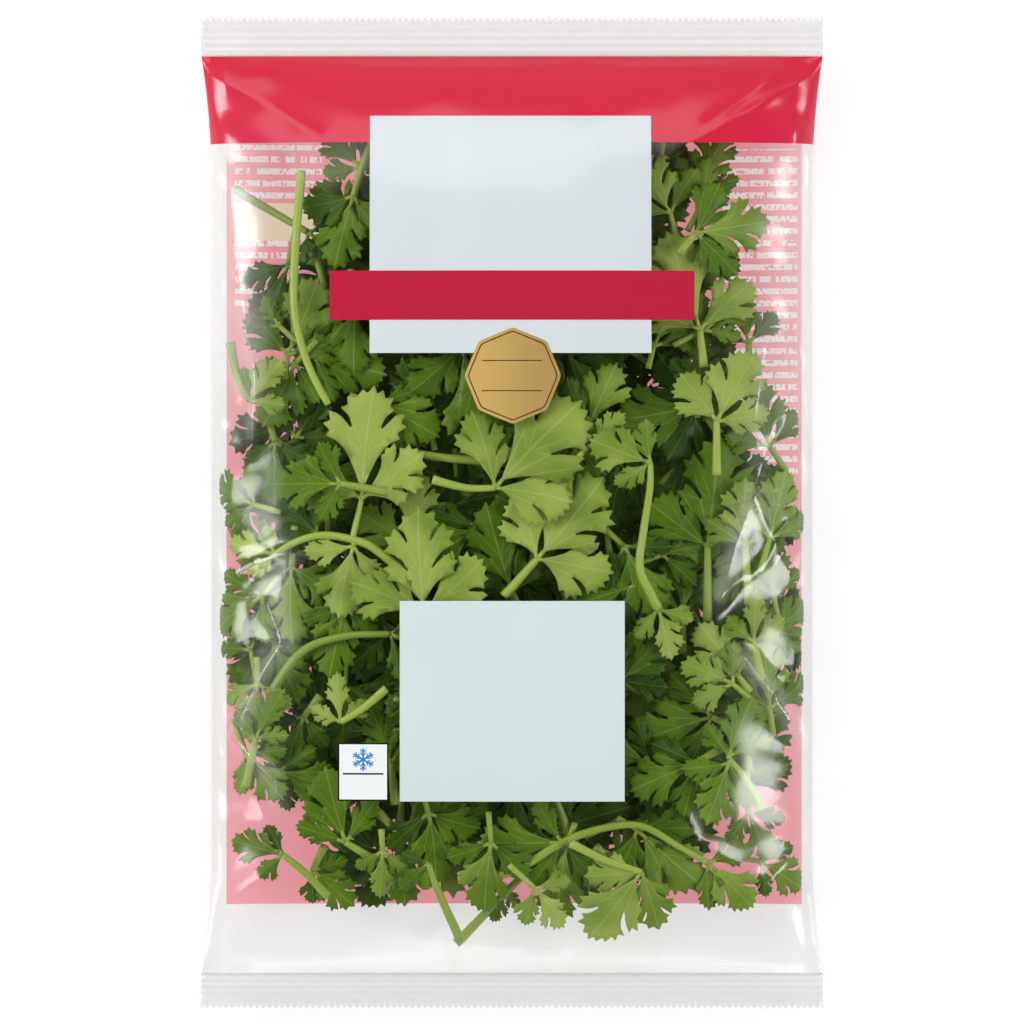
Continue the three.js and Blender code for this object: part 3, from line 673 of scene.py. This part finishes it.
def add_stem(build, points, at, start, end, tone_and_painted_light, seed, cut=1.0, sides=STEM_SIDES):
    """A ridged stem along points on the plane, closed at both ends. cut says how pale its first end is."""
    line = [contained(x, y) for x, y in curve_through(points, STEM_STEP)]
    line = [Vector((float(x), float(y), float(at(x, y)))) for x, y in line]
    if len(line) < 2 or (line[0] - line[-1]).length < 0.2:
        return
    rings = []
    run = 0.0
    for k, middle in enumerate(line):
        ahead = (line[min(k + 1, len(line) - 1)] - line[max(k - 1, 0)]).normalized()
        side = ahead.cross(Vector((0, 0, 1))).normalized()
        up = side.cross(ahead)
        run += (middle - line[max(k - 1, 0)]).length
        radius = start + (end - start) * k / (len(line) - 1)
        radius *= 1 + 0.06 * noise.noise(Vector((run * 0.18, seed, 0)))
        ring = []
        for i in range(sides):
            turn = 2 * math.pi * i / sides
            ridge = radius * (1 + 0.05 * math.cos(4 * turn + seed))
            place = middle + side * (math.cos(turn) * ridge) + up * (math.sin(turn) * ridge)
            ring.append(build.point(tuple(place), (i / sides, run, seed), tone_and_painted_light))
        rings.append(ring)
    for low, high in zip(rings, rings[1:]):
        for i in range(sides):
            j = (i + 1) % sides
            build.face((low[i], high[i], high[j], low[j]), Build.STEM)
    for ring, middle, pale, flip in ((rings[0], line[0], cut, False), (rings[-1], line[-1], 0.0, True)):
        hub = build.point(tuple(middle), (0, 0, seed), tone_and_painted_light, 0.0, pale)
        for i in range(sides):
            pair = (ring[i], ring[(i + 1) % sides])
            build.face((hub, *(pair[::-1] if flip else pair)), Build.STEM)


def add_leaf(build, rng, x, y, heading, length, at, arch, tone_and_painted_light, room, pool=None):
    """Three leaflets on one point, each on its own short stalk when no pool of shapes is given."""
    for turn, share, lift in LEAFLETS:
        turned = heading + turn + rng.uniform(-5, 5)
        size = length * share * rng.uniform(0.9, 1.08)
        c, s = toward(turned)
        start = STALK * size * (0.6 if turn else 1)
        base = (x + c * start, y + s * start)
        inner = (base[0] + c * 1.5, base[1] + s * 1.5)
        lift += rng.uniform(-0.06, 0.06)
        if not pool:
            bright, seed = min(1, tone_and_painted_light + 0.1), rng.uniform(0, 40)
            add_stem(build, [(x, y), base, inner], at, 0.6, 0.4, bright, seed, 0.0, STALK_SIDES)
        # painted shade: side leaflets, which lie lower than the middle one, are made 0.12 darker
        shade = min(1, max(0, tone_and_painted_light + rng.uniform(-0.12, 0.1) - (0.12 if turn else 0)))
        plan = rng.choice(pool) if pool else leaflet_plan(rng, size < SMALL, FINE)
        add_leaflet(build, rng, plan, *base, turned, size - start, at, arch, shade, lift, room)


def nearest_on(points, x, y):
    return min(curve_through(points, 0.5), key=lambda p: math.dist(p, (x, y)))


def sprig_layer(name):
    """The layer that a packed sprig lies in: the one whose surface its points are nearest to."""
    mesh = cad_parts[name].data
    flat = np.empty(len(mesh.vertices) * 3)
    mesh.vertices.foreach_get("co", flat)
    x, y, z = flat.reshape(-1, 3).T / MM
    return min(range(LAYERS), key=lambda layer: float(np.abs(layer_height(layer)(x, y) - z).mean()))


def layer_room(gap):
    """How far a leaf may rise or sink from the middle of its layer, where gap stays free on each side."""
    return lambda x, y: np.maximum(0.25, pitch_at(x, y) / 2 - gap)


def add_sprigs():
    for index, (tone_and_painted_light, stem, leaves) in enumerate(SPRIGS):
        name = f"sprig_{index + 1:02d}"
        rng = random.Random(index * 7 + 5)
        layer = sprig_layer(name)
        at = layer_height(layer)
        arch = 0.5 if index % 3 else -0.5
        build = Build()
        seed = rng.uniform(0, 40)
        bright = min(1, tone_and_painted_light + 0.15)
        add_stem(build, stem, at, 1.15, 0.75 if leaves else 0.9, bright, seed)
        for *place, heading, length in leaves:
            x, y = place or stem[-1]
            near = nearest_on(stem, x, y)
            if math.dist(near, (x, y)) > 0.75:
                add_stem(build, [near, (x, y)], at, 0.75, 0.6, bright, seed, 0.0)
            add_leaf(build, rng, x, y, heading, length, at, arch, tone_and_painted_light, layer_room(0.15))
        piece = build.piece(f"parsley_{name}")
        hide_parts(name)


# Loose leaves between the sprigs' layers: (x, y, heading in degrees, length, tone, layer). The tone is
# partly painted shade, darker for leaves in deeper layers.
LOOSE = [
    (-54, 38, 68, 20, 0.5, 1.5), (-47, -5, 135, 13, 0.15, 1.5), (-31.5, 26.5, -32, 16, 0.5, 1.5),
    (-52, 36, -115, 17, 0.5, 1.5), (-37.5, 50, -90, 16, 0.4, 1.5), (-61, -41, -95, 15, 0.75, 0.5),
    (-64, -58, -50, 15, 0.65, 0.5), (-31, -81, -95, 12, 0.75, 0.5), (5.5, -90, -48, 13, 0.8, 0.5),
    (53, -41, 150, 15, 0.75, 0.5), (62, -47, 92, 18, 0.6, 1.5), (62, -6, 75, 17, 0.65, 0.5),
    (63, -20, 100, 14, 0.5, 1.5), (38, 72, 120, 17, 0.6, 1.5), (46, 75, 80, 12, 0.45, 1.5),
    (46, 44, 40, 14, 0.5, 1.5), (19, 17, 42, 10, 0.8, 0.5), (62, 16, 110, 16, 0.5, 1.5),
    (-5, -79, -100, 18, 0.5, 0.5), (-20, -72, -80, 19, 0.45, 1.5), (-62, 2, 160, 14, 0.6, 1.5),
    (-60, -20, -150, 17, 0.55, 1.5), (-63, -33, 120, 14, 0.5, 2.5), (-56, 45, 125, 9, 0.5, 1.5),
    (61, -30, 40, 14, 0.6, 1.5), (60, -84, -30, 13, 0.4, 2.5), (33, -60, 160, 18, 0.4, 1.5),
    (34, 40, 70, 18, 0.35, 1.5), (-20, 22, 110, 17, 0.35, 2.5), (10, 30, 160, 18, 0.3, 2.5),
    (27, -8, -60, 18, 0.35, 1.5), (-8, -3, -140, 18, 0.3, 2.5), (36, -10, 20, 15, 0.3, 2.5),
    (-40, -22, -100, 17, 0.4, 1.5), (28, -18, 200, 17, 0.3, 1.5), (-56, -62, -20, 15, 0.35, 1.5),
    (53, -4, -86, 17, 0.4, 2.5), (58, -12, 215, 14, 0.45, 2.5), (-57, -32, -65, 15, 0.4, 2.5),
    (30, -76, -48, 21, 0.5, 1.5), (13, -80, -105, 18, 0.55, 1.5), (-44, 31, 195, 16, 0.25, 2.5),
    (-52, 18, 60, 15, 0.3, 2.5), (45, 30, 85, 16, 0.3, 2.5), (36, 86, -75, 14, 0.35, 2.5),
]


def add_loose():
    build = Build()
    for index, (x, y, heading, length, tone_and_painted_light, layer) in enumerate(LOOSE):
        rng = random.Random(900 + index)
        at = layer_height(layer)
        back = toward(heading + 180 + rng.uniform(-20, 20))
        reach = rng.uniform(5, 9)
        end = (x + reach * back[0], y + reach * back[1])
        bright, seed = min(1, tone_and_painted_light + 0.15), rng.uniform(0, 40)
        add_stem(build, [end, (x, y)], at, 0.8, 0.6, bright, seed, 1.0, STALK_SIDES)
        arch = rng.choice((-0.4, 0.4))
        add_leaf(build, rng, x, y, heading, length, at, arch, tone_and_painted_light, layer_room(0.7))
    piece = build.piece("parsley_loose_leaves")


# The parsley behind the sprigs, as an outline that it fills.
HEAP = [
    (-46, 92), (40, 94), (42, 72), (55, 66), (44, 56), (44, 48), (57, 36), (64, 8), (64, -60),
    (58, -86), (30, -88), (-30, -90), (-48, -84), (-54, -70), (-63, -54), (-65, -20), (-63, 20),
    (-55, 36), (-46, 60),
]
FILL_WIDTH = 140
FILL_GRID = 13  # between leaves of a set
FILLS = 3  # sets of leaves, one behind the other
FILL_PLANS = 14  # leaflets that a set draws from


def fill_level(share):
    """Where leaves lie between the bag's back, at share 0, and the last layer of sprigs, at share 1."""

    def at(x, y):
        low = back_inside(x, y) + 1.2
        high = layer_height(LAYERS - 1)(x, y) - 0.8
        return low + np.maximum(high - low, 0.2) * share

    return at


def fill_room(x, y):
    return np.maximum(0.2, 0.16 * (layer_height(LAYERS - 1)(x, y) - back_inside(x, y)))


def fill_places(rng):
    """Places for a set's leaves, in rows: x, y, heading, length and tone."""
    for row in range(int((TOP - BOTTOM) / FILL_GRID)):
        for column in range(int(FILL_WIDTH / FILL_GRID) + 1):
            x = -FILL_WIDTH / 2 + (column + row % 2 / 2) * FILL_GRID + rng.uniform(-4, 4)
            y = BOTTOM + 6 + row * FILL_GRID + rng.uniform(-4, 4)
            # the tones are kept low: painted shade for leaves that lie deep behind the sprigs
            yield x, y, rng.uniform(0, 360), rng.uniform(16, 23), rng.uniform(0.1, 0.55)


def add_fill():
    """Leaves that lie behind the sprigs, down to the back of the bag."""
    for level in range(FILLS):
        rng = random.Random(300 + level)
        pool = [leaflet_plan(rng, False, COARSE) for _ in range(FILL_PLANS)]
        build = Build()
        at = fill_level(0.84 - 0.3 * level)
        for x, y, heading, length, tone_and_painted_light in fill_places(rng):
            (c, s), reach = toward(heading), rng.uniform(5, 13)
            tip = (x + 0.75 * length * c, y + 0.75 * length * s)
            end = (x - reach * c, y - reach * s)
            if all(inside(p, HEAP) for p in ((x, y), tip, end)):
                bright, seed = tone_and_painted_light + 0.25, rng.uniform(0, 40)
                add_stem(build, [end, (x, y)], at, 0.9, 0.6, bright, seed, 1.0, STALK_SIDES)
                arch = rng.choice((-0.5, 0.5))
                add_leaf(build, rng, x, y, heading, length, at, arch, tone_and_painted_light, fill_room, pool)
        piece = build.piece(f"parsley_inner_leaves_{level + 1}")


# ---- The film ----

# Creases on the front: (points along the crest, width, height).
CREASES = [
    ([(43, 89), (58, 97), (74, 107)], 2.2, 0.8),
    ([(46, 93), (60, 103), (66, 109)], 1.6, 0.4),
    ([(-46, 90), (-58, 98), (-72, 105)], 2.6, 0.6),
    ([(-63, 45), (-61, 33), (-60, 22), (-62, 15)], 1.2, 0.8),
    ([(-60, 22), (-66, 26), (-71, 24)], 1.2, 0.5),
    ([(-50, -8), (-56, -10), (-61, -12), (-67, -15)], 1.3, 0.8),
    ([(-58, -22), (-54, -31), (-60, -40), (-66.5, -54)], 1.3, 1.0),
    ([(-54, -31), (-62, -30), (-68, -33)], 1.2, 0.5),
    ([(-66.5, -54), (-60, -60), (-55, -64), (-56, -70)], 1.3, 0.9),
    ([(57, 5), (67, 0), (60, -12), (48, -22)], 1.6, 0.8),
    ([(57, 5), (61, -4), (67, -16)], 1.2, 0.6),
    ([(66, 22), (60, 14), (57, 5)], 1.2, 0.6),
    ([(53, -33), (62, -44), (70, -55), (72, -60)], 1.7, 1.1),
    ([(62, -44), (67, -38), (70, -28)], 1.2, 0.5),
    ([(41, -72), (44, -79), (58, -86)], 1.6, 0.7),
    ([(-66, -92), (-60, -88), (-48, -90)], 1.8, 0.7),
    ([(66, -84), (60, -90), (50, -96)], 1.6, 0.6),
    ([(-30, -98), (-18, -103), (0, -104)], 2.0, 0.4),
]
# Broader folds: (points along the crest, how wide the fold is at each, height, which side of the crest it
# lies on, 1 for the left of someone who walks along the points).
FOLDS = [
    ([(57.2, 6), (54.7, -0.7), (52.8, -6.8), (48.2, -23)], [11, 10, 7, 3], 1.7, 1),
    ([(52, -32), (61, -44), (69, -56)], [5, 4.5, 3], 1.5, 1),
    ([(-52, -8), (-55, -22), (-53, -31), (-59, -40), (-65, -54)], [7, 9, 9, 6, 3], 1.6, -1),
    ([(-65, -55), (-56, -64), (-55, -73)], [4, 6, 4], 1.2, -1),
    ([(-65, 54), (-62.5, 43), (-60.3, 32), (-62, 17)], [9, 7, 2.5, 1.5], 1.5, 1),
    ([(60, 40), (58, 26), (57.2, 8)], [4, 5, 5], 1.0, 1),
]
EDGE_HAZE = 0.17  # how milky the film is along the bag's sides, where it is seen edge on
SIDE_PAINTED_GLARE = 0.3  # and, as a painted reflection, a milky veil on the front's sides in the bag's upper half
FOLD_HAZE_AND_GLARE = 0.09  # and where a fold is a millimetre high, partly the whitening of creased film and partly a painted highlight
PRESSED = 0.3  # how far the filling presses the front's film out past its solid
PLEATS, WAVES, RIPPLES, SIDE_WAVES = 0.16, 0.7, 0.35, 0.35  # how high they are
ACROSS = 190  # faces across the front
BEHIND = 90  # and across the back
ALONG = 230


def beside(x, y, a, b):
    """How far places are along the line from a to b, from 0 to 1, and how far they are from it."""
    dx, dy = b[0] - a[0], b[1] - a[1]
    share = np.clip(((x - a[0]) * dx + (y - a[1]) * dy) / (dx * dx + dy * dy), 0, 1)
    return share, np.hypot(x - a[0] - share * dx, y - a[1] - share * dy)


def crease_height(x, y):
    total = np.zeros_like(x)
    for points, width, height in CREASES:
        nearest = np.min([beside(x, y, a, b)[1] for a, b in zip(points, points[1:])], axis=0)
        total += height * np.exp(-np.sqrt((nearest / width) ** 2 + 0.04) + 0.2)
    return total


def fold_height(x, y):
    total = np.zeros_like(x)
    for points, widths, height, side in FOLDS:
        fold = np.zeros_like(x)
        whole = sum(math.dist(a, b) for a, b in zip(points, points[1:]))
        before = 0.0
        for a, b, first, last in zip(points, points[1:], widths, widths[1:]):
            share, away = beside(x, y, a, b)
            inner = side * ((b[0] - a[0]) * (y - a[1]) - (b[1] - a[1]) * (x - a[0])) > 0
            slope = np.where(inner, 1 - away / (first + (last - first) * share), np.exp(-away / 2.2))
            along = before + share * math.dist(a, b)
            ends = np.minimum(along, whole - along)
            fold = np.maximum(fold, np.maximum(slope, 0) * np.clip(0.25 + ends / 5, 0, 1))
            before += math.dist(a, b)
        total += height * fold
    return total


def smooth_noise(x, y, scale, seed):
    flat = [noise.noise(Vector((a * scale, b * scale, seed))) for a, b in zip(x.ravel(), y.ravel())]
    return np.array(flat).reshape(x.shape)


def film_looks(x, y):
    """Each face's look: 0 clear, 1 the front's print, 2 the back's."""
    reach = 3.0
    printed = np.zeros(x.shape, bool)
    badge = (BADGE[0] - 12, BADGE[0] + 12, BADGE[1] - 12, BADGE[1] + 12)
    for x0, x1, y0, y1 in [badge, *[box for box, _ in PRINTS]]:
        printed |= (x > x0 - reach) & (x < x1 + reach) & (y > y0 - reach) & (y < y1 + reach)
    looks = np.where(printed, 1, 0)
    looks[:, ACROSS:] = 2
    return looks[:-1].ravel().tolist()


def film_piece(name, points, faces, haze_and_painted_glare, materials, indices=None):
    """A piece of the bag's film. haze is how milky it is at each point, and on the front's folds and upper
    sides it also holds painted highlights.
    """
    piece = make_mesh(name, points, faces, {"haze_and_painted_glare": haze_and_painted_glare}, materials, indices)
    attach(piece, "root")
    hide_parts("bag_film")


def film_grid():
    """The film's points, ring by ring: how far across and along, and whether they are in front."""
    stations = BOTTOM + (TOP - BOTTOM) * (1 - np.cos(np.linspace(0, math.pi, ALONG))) / 2
    stations = 0.6 * stations + 0.4 * np.linspace(BOTTOM, TOP, ALONG)
    ring = np.concatenate([np.linspace(-1, 1, ACROSS + 1), np.linspace(1, -1, BEHIND + 1)[1:-1]])
    y, share = np.meshgrid(stations, ring, indexing="ij")
    front = np.broadcast_to(np.arange(len(ring)) <= ACROSS, y.shape)
    return half_width(y) * np.sin(share * math.pi / 2), y, front


def film_push(x, y, front, folds):
    """How far the film stands out from its smooth form: pleats at the seals, waves, folds and creases."""
    near_end = np.minimum(TOP - y, y - BOTTOM)
    edge = np.abs(x) / half_width(y)
    calm = np.clip(near_end / 3, 0, 1) * np.clip((1 - edge) * 14, 0, 1)
    pleats = np.cos(x * 0.62 + 2.2 * smooth_noise(x * 0.5, y * 0.15, 0.09, 3.0)) * np.exp(-near_end / 11)
    waves = smooth_noise(x, y, 0.035, 1.0) * WAVES + smooth_noise(x, y * 0.7, 0.085, 2.0) * RIPPLES
    sides = np.cos(y * 0.42 + 3 * smooth_noise(x, y, 0.03, 5.0))
    sides = sides * np.clip((edge - 0.72) / 0.28, 0, 1) * SIDE_WAVES
    ahead = np.where(front, PRESSED + crease_height(x, y) + folds, 0)
    return calm * (PLEATS * pleats + waves + sides + ahead)


def film_form(x, y, front, folds):
    """Where the film's points lie across and up, with a shallow dent along the back for the seam's flap."""
    rise = section(x, y) * bulge(y)
    above = SEAL_HEIGHT + FILM / 2 + (FRONT_RISE - FILM / 2) * rise
    below = SEAL_HEIGHT - FILM / 2 - (BACK_DROP - FILM / 2) * rise
    z = np.where(front, above, below)
    step = np.gradient(x, axis=1)
    slope = np.clip(np.gradient(z, axis=1) / np.where(np.abs(step) < 1e-6, 1e-6, step), -3, 3)
    push = np.where(front, 1, -1) * film_push(x, y, front, folds)
    size = np.sqrt(1 + slope**2)
    x, z = x - push * slope / size, z + push / size
    dent = np.clip((13 - np.abs(x - 5)) / 3, 0, 1) * 0.5
    return x, np.maximum(z, 0.0) + np.where(~front & (z < 0.5), dent, 0)


def film_faces(count):
    """The faces of a closed tube of rings of count points."""
    faces = []
    for first in range(0, (ALONG - 1) * count, count):
        for i in range(count):
            a, b = first + i, first + (i + 1) % count
            faces.append((a, b, b + count, a + count))
    return faces + [tuple(range(count))[::-1], tuple(range((ALONG - 1) * count, ALONG * count))]


def film_skin():
    """The bag's film between its end seals, in one closed surface."""
    x, y, front = film_grid()
    folds = fold_height(x, y)
    edge = np.abs(x) / half_width(y)
    haze_and_painted_glare = 0.001 + EDGE_HAZE * np.clip(1 - (1 - edge) * 14, 0, 1)
    # partly the whitening of creased film, partly a painted highlight along the front's folds
    haze_and_painted_glare += np.where(front, FOLD_HAZE_AND_GLARE * np.clip(folds, 0, 1.6) ** 1.5, 0)
    # painted reflection: a milky veil on the front's sides in the bag's upper half
    sides, upper = np.clip((edge - 0.78) / 0.2, 0, 1), np.clip((y - 10) / 30, 0, 1)
    haze_and_painted_glare += np.where(front, SIDE_PAINTED_GLARE * sides * upper, 0)
    x, z = film_form(x, y, front, folds)
    points = np.stack([x, y, z], axis=-1).reshape(-1, 3).tolist()
    looks = [film_material("film_clear"), film_material("film_front", front_print)]
    looks += [film_material("film_back", back_print, 0.2)]
    film_piece("clear_film", points, film_faces(x.shape[1]), haze_and_painted_glare, looks, film_looks(x, y) + [0, 0])


def sheet_faces(rows, columns, flip=False):
    """The faces of a closed thin sheet: its upper side's points row by row, then its lower side's."""
    stride = columns + 1
    half = (rows + 1) * stride
    faces = []
    for r in range(rows):
        for i in range(columns):
            a = r * stride + i
            quad = (a, a + 1, a + 1 + stride, a + stride)
            low = tuple(k + half for k in quad[::-1])
            faces += [quad, low]
    border = list(range(stride)) + [r * stride + columns for r in range(1, rows + 1)]
    border += [rows * stride + i for i in range(columns - 1, -1, -1)]
    border += [r * stride for r in range(rows - 1, 0, -1)]
    faces += [(a, a + half, b + half, b) for a, b in zip(border, border[1:] + border[:1])]
    return [face[::-1] for face in faces] if flip else faces


def film_sheet(name, rows, columns, place, look, flip=False):
    """A thin sheet of film. place gives a point and its haze for a row, a column and a side, 1 or -1."""
    sides = [place(r, i, side) for side in (1, -1) for r in range(rows + 1) for i in range(columns + 1)]
    points, haze_and_painted_glare = zip(*sides)
    film_piece(name, points, sheet_faces(rows, columns, flip), haze_and_painted_glare, [look])


FLAP = (0.15, 10.0, -77.5, 76.5)  # the back seam's flap: x0, x1, y0, y1
FLAP_HEIGHT = 0.24  # of its middle
FLAP_THICKNESS = 0.22
FLAP_CRIMP = 1.6  # from one crimp line to the next
FLAP_HAZE = 0.15


def seam_flap():
    """The flap of the back's long seam, lying flat under the bag, with fine crimp lines across it."""
    x0, x1, y0, y1 = FLAP
    along, across = 400, 14

    def place(r, i, side):
        y, share = y0 + (y1 - y0) * r / along, i / across
        crimp = 0.05 * math.sin(y * 2 * math.pi / FLAP_CRIMP) * min(1, share * 4, (1 - share) * 8)
        wave = 0.04 * math.sin(y * 0.09 + 1) * share
        z = FLAP_HEIGHT + crimp + wave + side * FLAP_THICKNESS / 2
        return (x0 + (x1 - x0) * share, y, z), FLAP_HAZE

    film_sheet("back_seam_flap", along, across, place, film_material("film_flap", back_print, 0.5))


TOOTH = 1.5  # pitch of the pinked edge
TOOTH_DEPTH = 0.8
TUCK = 0.6  # how far a seal reaches in under the film between the seals
PLAIN = (0.5, 1.4)  # strips inside and outside the ridges
RIDGES = 4
RIDGE = 0.13
SEAL_THICKNESS = 0.22  # of each of its two layers
SEAL_HAZE = (0.28, 0.10)  # everywhere, and on the ridges as well


def end_seal(name, inner, outer):
    """A crimped seal from inner to outer, cut with a pinked edge at outer."""
    side = 1 if outer > inner else -1
    rows, columns = 28, int(BAG_WIDTH / TOOTH) * 2
    length = abs(outer - inner)
    ridged = length - sum(PLAIN)

    def place(r, i, layer):
        x = -BAG_WIDTH / 2 + BAG_WIDTH * i / columns
        reach = length - (TOOTH_DEPTH if i % 2 else 0.0)
        depth = -TUCK + (reach + TUCK) * r / rows
        crimped = np.clip(min(depth - PLAIN[0], length - PLAIN[1] - depth) / 0.4, 0, 1)
        ridge = RIDGE * crimped * math.sin(2 * math.pi * RIDGES * (depth - PLAIN[0]) / ridged)
        wave = 0.25 * noise.noise(Vector((x * 0.05, side * 3.0, 0))) * r / rows
        fine = 0.05 * noise.noise(Vector((x * 0.4, depth * 0.4, side)))
        z = SEAL_HEIGHT + ridge + wave + fine + layer * SEAL_THICKNESS
        return (x, inner + side * depth, z), SEAL_HAZE[0] + SEAL_HAZE[1] * crimped

    film_sheet(name, rows, columns, place, SEAL_LOOK, side < 0)


# ---- The scene ----

VIEW_HEIGHT = 247.0  # how much of the seal plane the picture shows, top to bottom
VIEW_DISTANCE = 1800.0
VIEW_MIDDLE = 0.24  # how far along the bag the picture's middle lies
SENSOR = 36.0
FLOOR_DROP = 0.0004  # metres below the bag
SKY_GLOW = 0.75  # at the horizon
SKY_TOP = 0.95  # the height, of 1 overhead, from which the sky is dark


def add_camera():
    data = bpy.data.cameras.new("camera")
    data.sensor_width = SENSOR
    data.lens = SENSOR * (VIEW_DISTANCE - SEAL_HEIGHT) / VIEW_HEIGHT
    data.clip_end = 20
    camera = add_object("camera", data)
    camera.location = (0, VIEW_MIDDLE * MM, VIEW_DISTANCE * MM)
    bpy.context.scene.camera = camera


# Lights that the film mirrors: (name, azimuth, elevation, distance, size, power), in metres and watts.
BOXES = [
    ("right_low", -14, 41, 1.0, (0.3, 0.26), 3.5),
    ("right_high", 18, 31, 1.0, (0.2, 0.2), 1.3),
    ("left_low", 169, 31, 1.0, (0.3, 0.28), 3.5),
    ("left_high", 190, 40, 1.0, (0.16, 0.2), 1.0),
    ("far_box", 100, 50, 1.25, (1.2, 0.5), 3.4),
    ("near_box", -85, 11, 1.15, (1.2, 0.2), 1.2),
]
SOFT_BOXES = [  # that it doesn't mirror
    ("overhead_box", 0, 86, 1.3, (0.9, 0.9), 1.7),
    ("key_box", 144, 45, 1.33, (0.7, 0.7), 4.1),
]


def add_box(name, azimuth, elevation, distance, size, power):
    """A softbox that faces the middle of the bag. Azimuth 0 is +X and 90 is +Y."""
    data = bpy.data.lights.new(name, "AREA")
    data.shape = "RECTANGLE"
    data.size, data.size_y = size
    data.energy = power
    (c, s), (flat, rise) = toward(azimuth), toward(elevation)
    place = Vector((c * flat, s * flat, rise)) * distance
    light = add_object(name, data)
    light.location = place
    light.rotation_euler = (-place).to_track_quat("-Z", "Y").to_euler()
    return light


def add_world():
    """A sky that is pale at the horizon and dark overhead, where flat film would mirror it."""
    g = Graph("studio", bpy.data.worlds)
    height = g.split(g.place("Generated"))[2]
    glow = g.remap(height, 0.0, SKY_TOP, SKY_GLOW, 0.0, "LINEAR")
    sky = g.node("ShaderNodeBackground", {"Color": WHITE, "Strength": glow})
    bpy.context.scene.world = g.finish(sky, "World")


def add_studio():
    bpy.context.scene.view_settings.view_transform = "Standard"
    add_world()
    for box in BOXES:
        add_box(*box)
    for box in SOFT_BOXES:
        add_box(*box).visible_glossy = False
    bpy.ops.mesh.primitive_plane_add(size=4, location=(0, 0, -FLOOR_DROP))
    floor = bpy.context.object
    floor.name = "floor"
    floor.data.materials.append(floor_material())


LEAF_LOOK = leaf_material()
STEM_LOOK = stem_material()
SEAL_LOOK = film_material("film_seal")

add_camera()
add_studio()
add_sprigs()
add_loose()
add_fill()
film_skin()
seam_flap()
end_seal("top_seal", TOP, BAG_LENGTH / 2)
end_seal("bottom_seal", BOTTOM, -BAG_LENGTH / 2)
